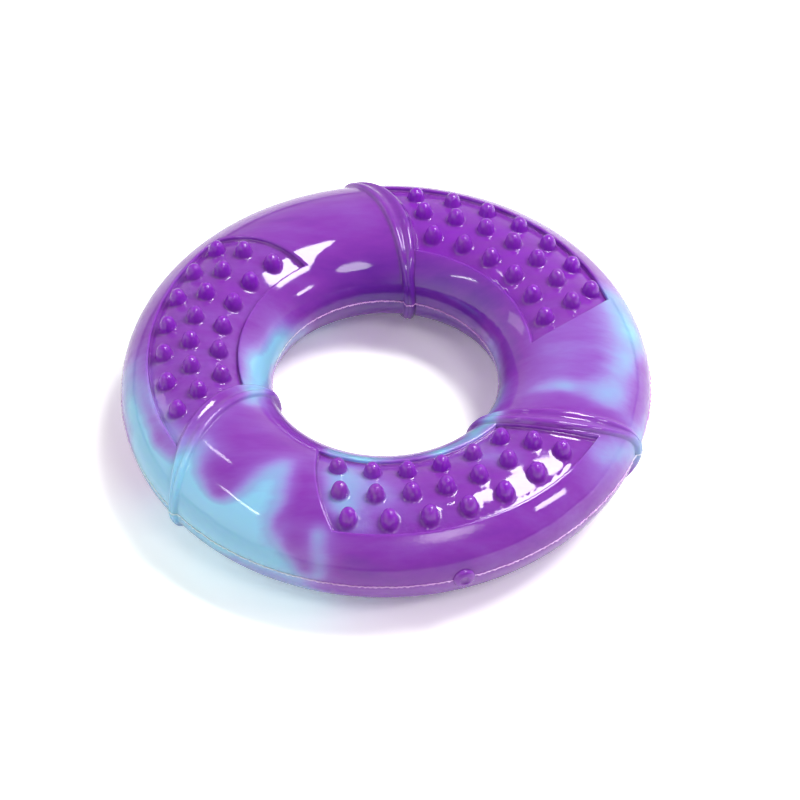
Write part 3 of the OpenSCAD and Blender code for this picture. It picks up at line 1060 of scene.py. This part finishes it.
def make_floor():
    """A white sheet. Looked at straight, its own white counts twice, as on a table that
    the photographer let burn out, so that only the deep part of the shadow is left. A
    small share shines plain white, and all of it does from a metre away."""
    mesh = bpy.data.meshes.new("white_table")
    corners = [(-span, -span, 0), (span, -span, 0), (span, span, 0), (-span, span, 0)]
    mesh.from_pydata(corners, [], [(0, 1, 2, 3)])
    material, tree, shader = new_material("white_table")
    coords = frame_coords(tree)
    tone = remap(tree, noise(tree, coords, 400.0), 0.0, 1.0, 0.93, 0.95)
    white = add(tree, "CombineColor", {"Red": tone, "Green": tone, "Blue": tone})
    fill(tree, shader, {"Base Color": white.outputs[0], "Roughness": 0.6})
    away = add(tree, "VectorMath", {0: coords}, operation="LENGTH").outputs["Value"]
    share = remap(tree, away, *plain_reach, plain_least, 1.0, "SMOOTHSTEP")
    plain, seen = shown_white(tree, share)
    again = add(tree, "BsdfDiffuse", {"Color": (0.86, 0.89, 0.77, 1)})
    burnt = add(tree, "MixShader", {0: seen, 2: again.outputs[0]})
    twice = add(tree, "AddShader", {0: shader.outputs[0], 1: burnt.outputs[0]})
    shine = add(tree, "Emission", {"Color": (1, 1, 1, 1), "Strength": 1.0})
    mixed = add(tree, "MixShader", {0: plain, 1: twice.outputs[0], 2: shine.outputs[0]})
    output = next(node for node in tree.nodes if node.type == "OUTPUT_MATERIAL")
    fill(tree, output, {"Surface": mixed.outputs[0]})
    mesh.materials.append(material)
    in_scene("white_table", mesh)


make_floor()


# %% Softboxes
def softbox(name, towards, along, distance, size, radiance, shape="RECTANGLE"):
    """An area light that hangs in a direction from the ring and faces it, its long side
    lying along a direction. Power is radiance times pi times its area."""
    data = bpy.data.lights.new(name, "AREA")
    data.shape = shape
    data.size, data.size_y = size
    data.energy = radiance * pi * size[0] * size[1]
    light = in_scene(name, data)
    z = Vector(towards).normalized()
    x = (Vector(along) - Vector(along).dot(z) * z).normalized()
    light.location = Vector((0, 0, middle_h * MM)) + z * distance
    light.rotation_euler = Matrix((x, z.cross(x), z)).transposed().to_euler()
    print(f"{name}: {data.energy:.1f} W")


softbox("high_right", (0.431, 0.127, 0.90), (0.43, -0.27, 0), 1.2, (0.60, 0.38), 16.5)
softbox("front_right", (0.77, -0.25, 0.587), (0.11, 0.16, -0.08), 1.3, (0.27, 0.12), 14.0)
softbox("front", (0.29, -0.51, 0.81), (0.3, 0.12, 0), 1.3, (0.44, 0.26), 5.2, "ELLIPSE")
softbox("left_strip", (-0.64, -0.18, 0.747), (0.07, -0.25, 0), 1.3, (0.36, 0.026), 16.0)
softbox("left_pane", (-0.43, 0.33, 0.84), (0.08, -0.04, 0), 1.3, (0.15, 0.05), 9.0)
softbox("left_window", (-0.74, 0.46, 0.49), (0.46, 0.74, 0), 1.4, (0.34, 0.24), 1.5)

# %% The room
near_wall = 0.11       # brightness of the room where nothing shines
ceiling = 0.55         # brightness of a glow high up, as a share of that low down
skirting = 0.2         # brightness at the table's height, as a share of that above
skirting_top = 0.1     # sine of the angle up to the skirting's upper edge
dimming = 0.15, 0.75   # sines of the angles up between which the glows grow dim
glows = (              # direction of each glow, where it begins and is full, amount
    ((0.15, 0.99, 0), -0.2, 0.9, 0.5),
    ((0.90, 0.43, 0), 0.55, 0.95, 0.5),
    ((-0.90, -0.43, 0), 0.25, 0.95, 1.3),
)


def make_room():
    """A world with a soft glow beyond the ring, on the right and on the left: each
    rises smoothly towards its direction and sinks from the horizon to the ceiling. A
    dark skirting at the table's height draws a thin line where the ring mirrors it.
    Looked at straight, the room is white."""
    world = bpy.data.worlds.new("room")
    bpy.context.scene.world = world
    world.use_nodes = True
    tree = world.node_tree
    towards = add(tree, "TexCoord").outputs["Generated"]
    height = add(tree, "SeparateXYZ", {0: towards}).outputs["Z"]
    dimmer = remap(tree, height, *dimming, 1.0, ceiling)
    strength = near_wall
    for direction, begins, full, amount in glows:
        pair = {0: towards, 1: direction}
        near = add(tree, "VectorMath", pair, operation="DOT_PRODUCT").outputs["Value"]
        glow = remap(tree, near, begins, full, 0.0, amount, "SMOOTHSTEP")
        strength = math_node(tree, "ADD", math_node(tree, "MULTIPLY", glow, dimmer), strength)
    low_wall = remap(tree, height, 0.0, skirting_top, skirting, 1.0, "SMOOTHSTEP")
    strength = math_node(tree, "MULTIPLY", strength, low_wall)
    strength = math_node(tree, "MAXIMUM", strength, shown_white(tree, 1.0)[0])
    tint = 1.0, 0.97, 0.99, 1
    fill(tree, tree.nodes["Background"], {"Color": tint, "Strength": strength})


make_room()

# %% Camera
view_elevation = 47.21     # above the horizon, in degrees
view_roll = -0.778         # turn of the picture, in degrees
view_distance = 0.8723     # from the ring's middle, in metres
focal = 148.15             # focal length on a 36 mm sensor
shift = 0.01795, -0.02222  # how far the picture's middle lies off the lens's axis
optics = bpy.data.cameras.new("camera")
optics.lens = focal
optics.sensor_width = 36.0
optics.shift_x, optics.shift_y = shift
camera = in_scene("camera", optics)
el = radians(view_elevation)
back = Vector((0, -cos(el), sin(el)))
camera.location = Vector((0, 0, middle_h * MM)) + back * view_distance
camera.rotation_mode = "QUATERNION"
level = (-back).to_track_quat("-Z", "Y").to_matrix().to_4x4()
roll = Matrix.Rotation(radians(view_roll), 4, back)
camera.rotation_quaternion = (roll @ level).to_quaternion()
bpy.context.scene.camera = camera
bpy.context.scene.view_settings.view_transform = "Standard"

# %% Sizes, and done
print("cad box   ", [round(v, 5) for v in (*cad_low, *cad_high)])
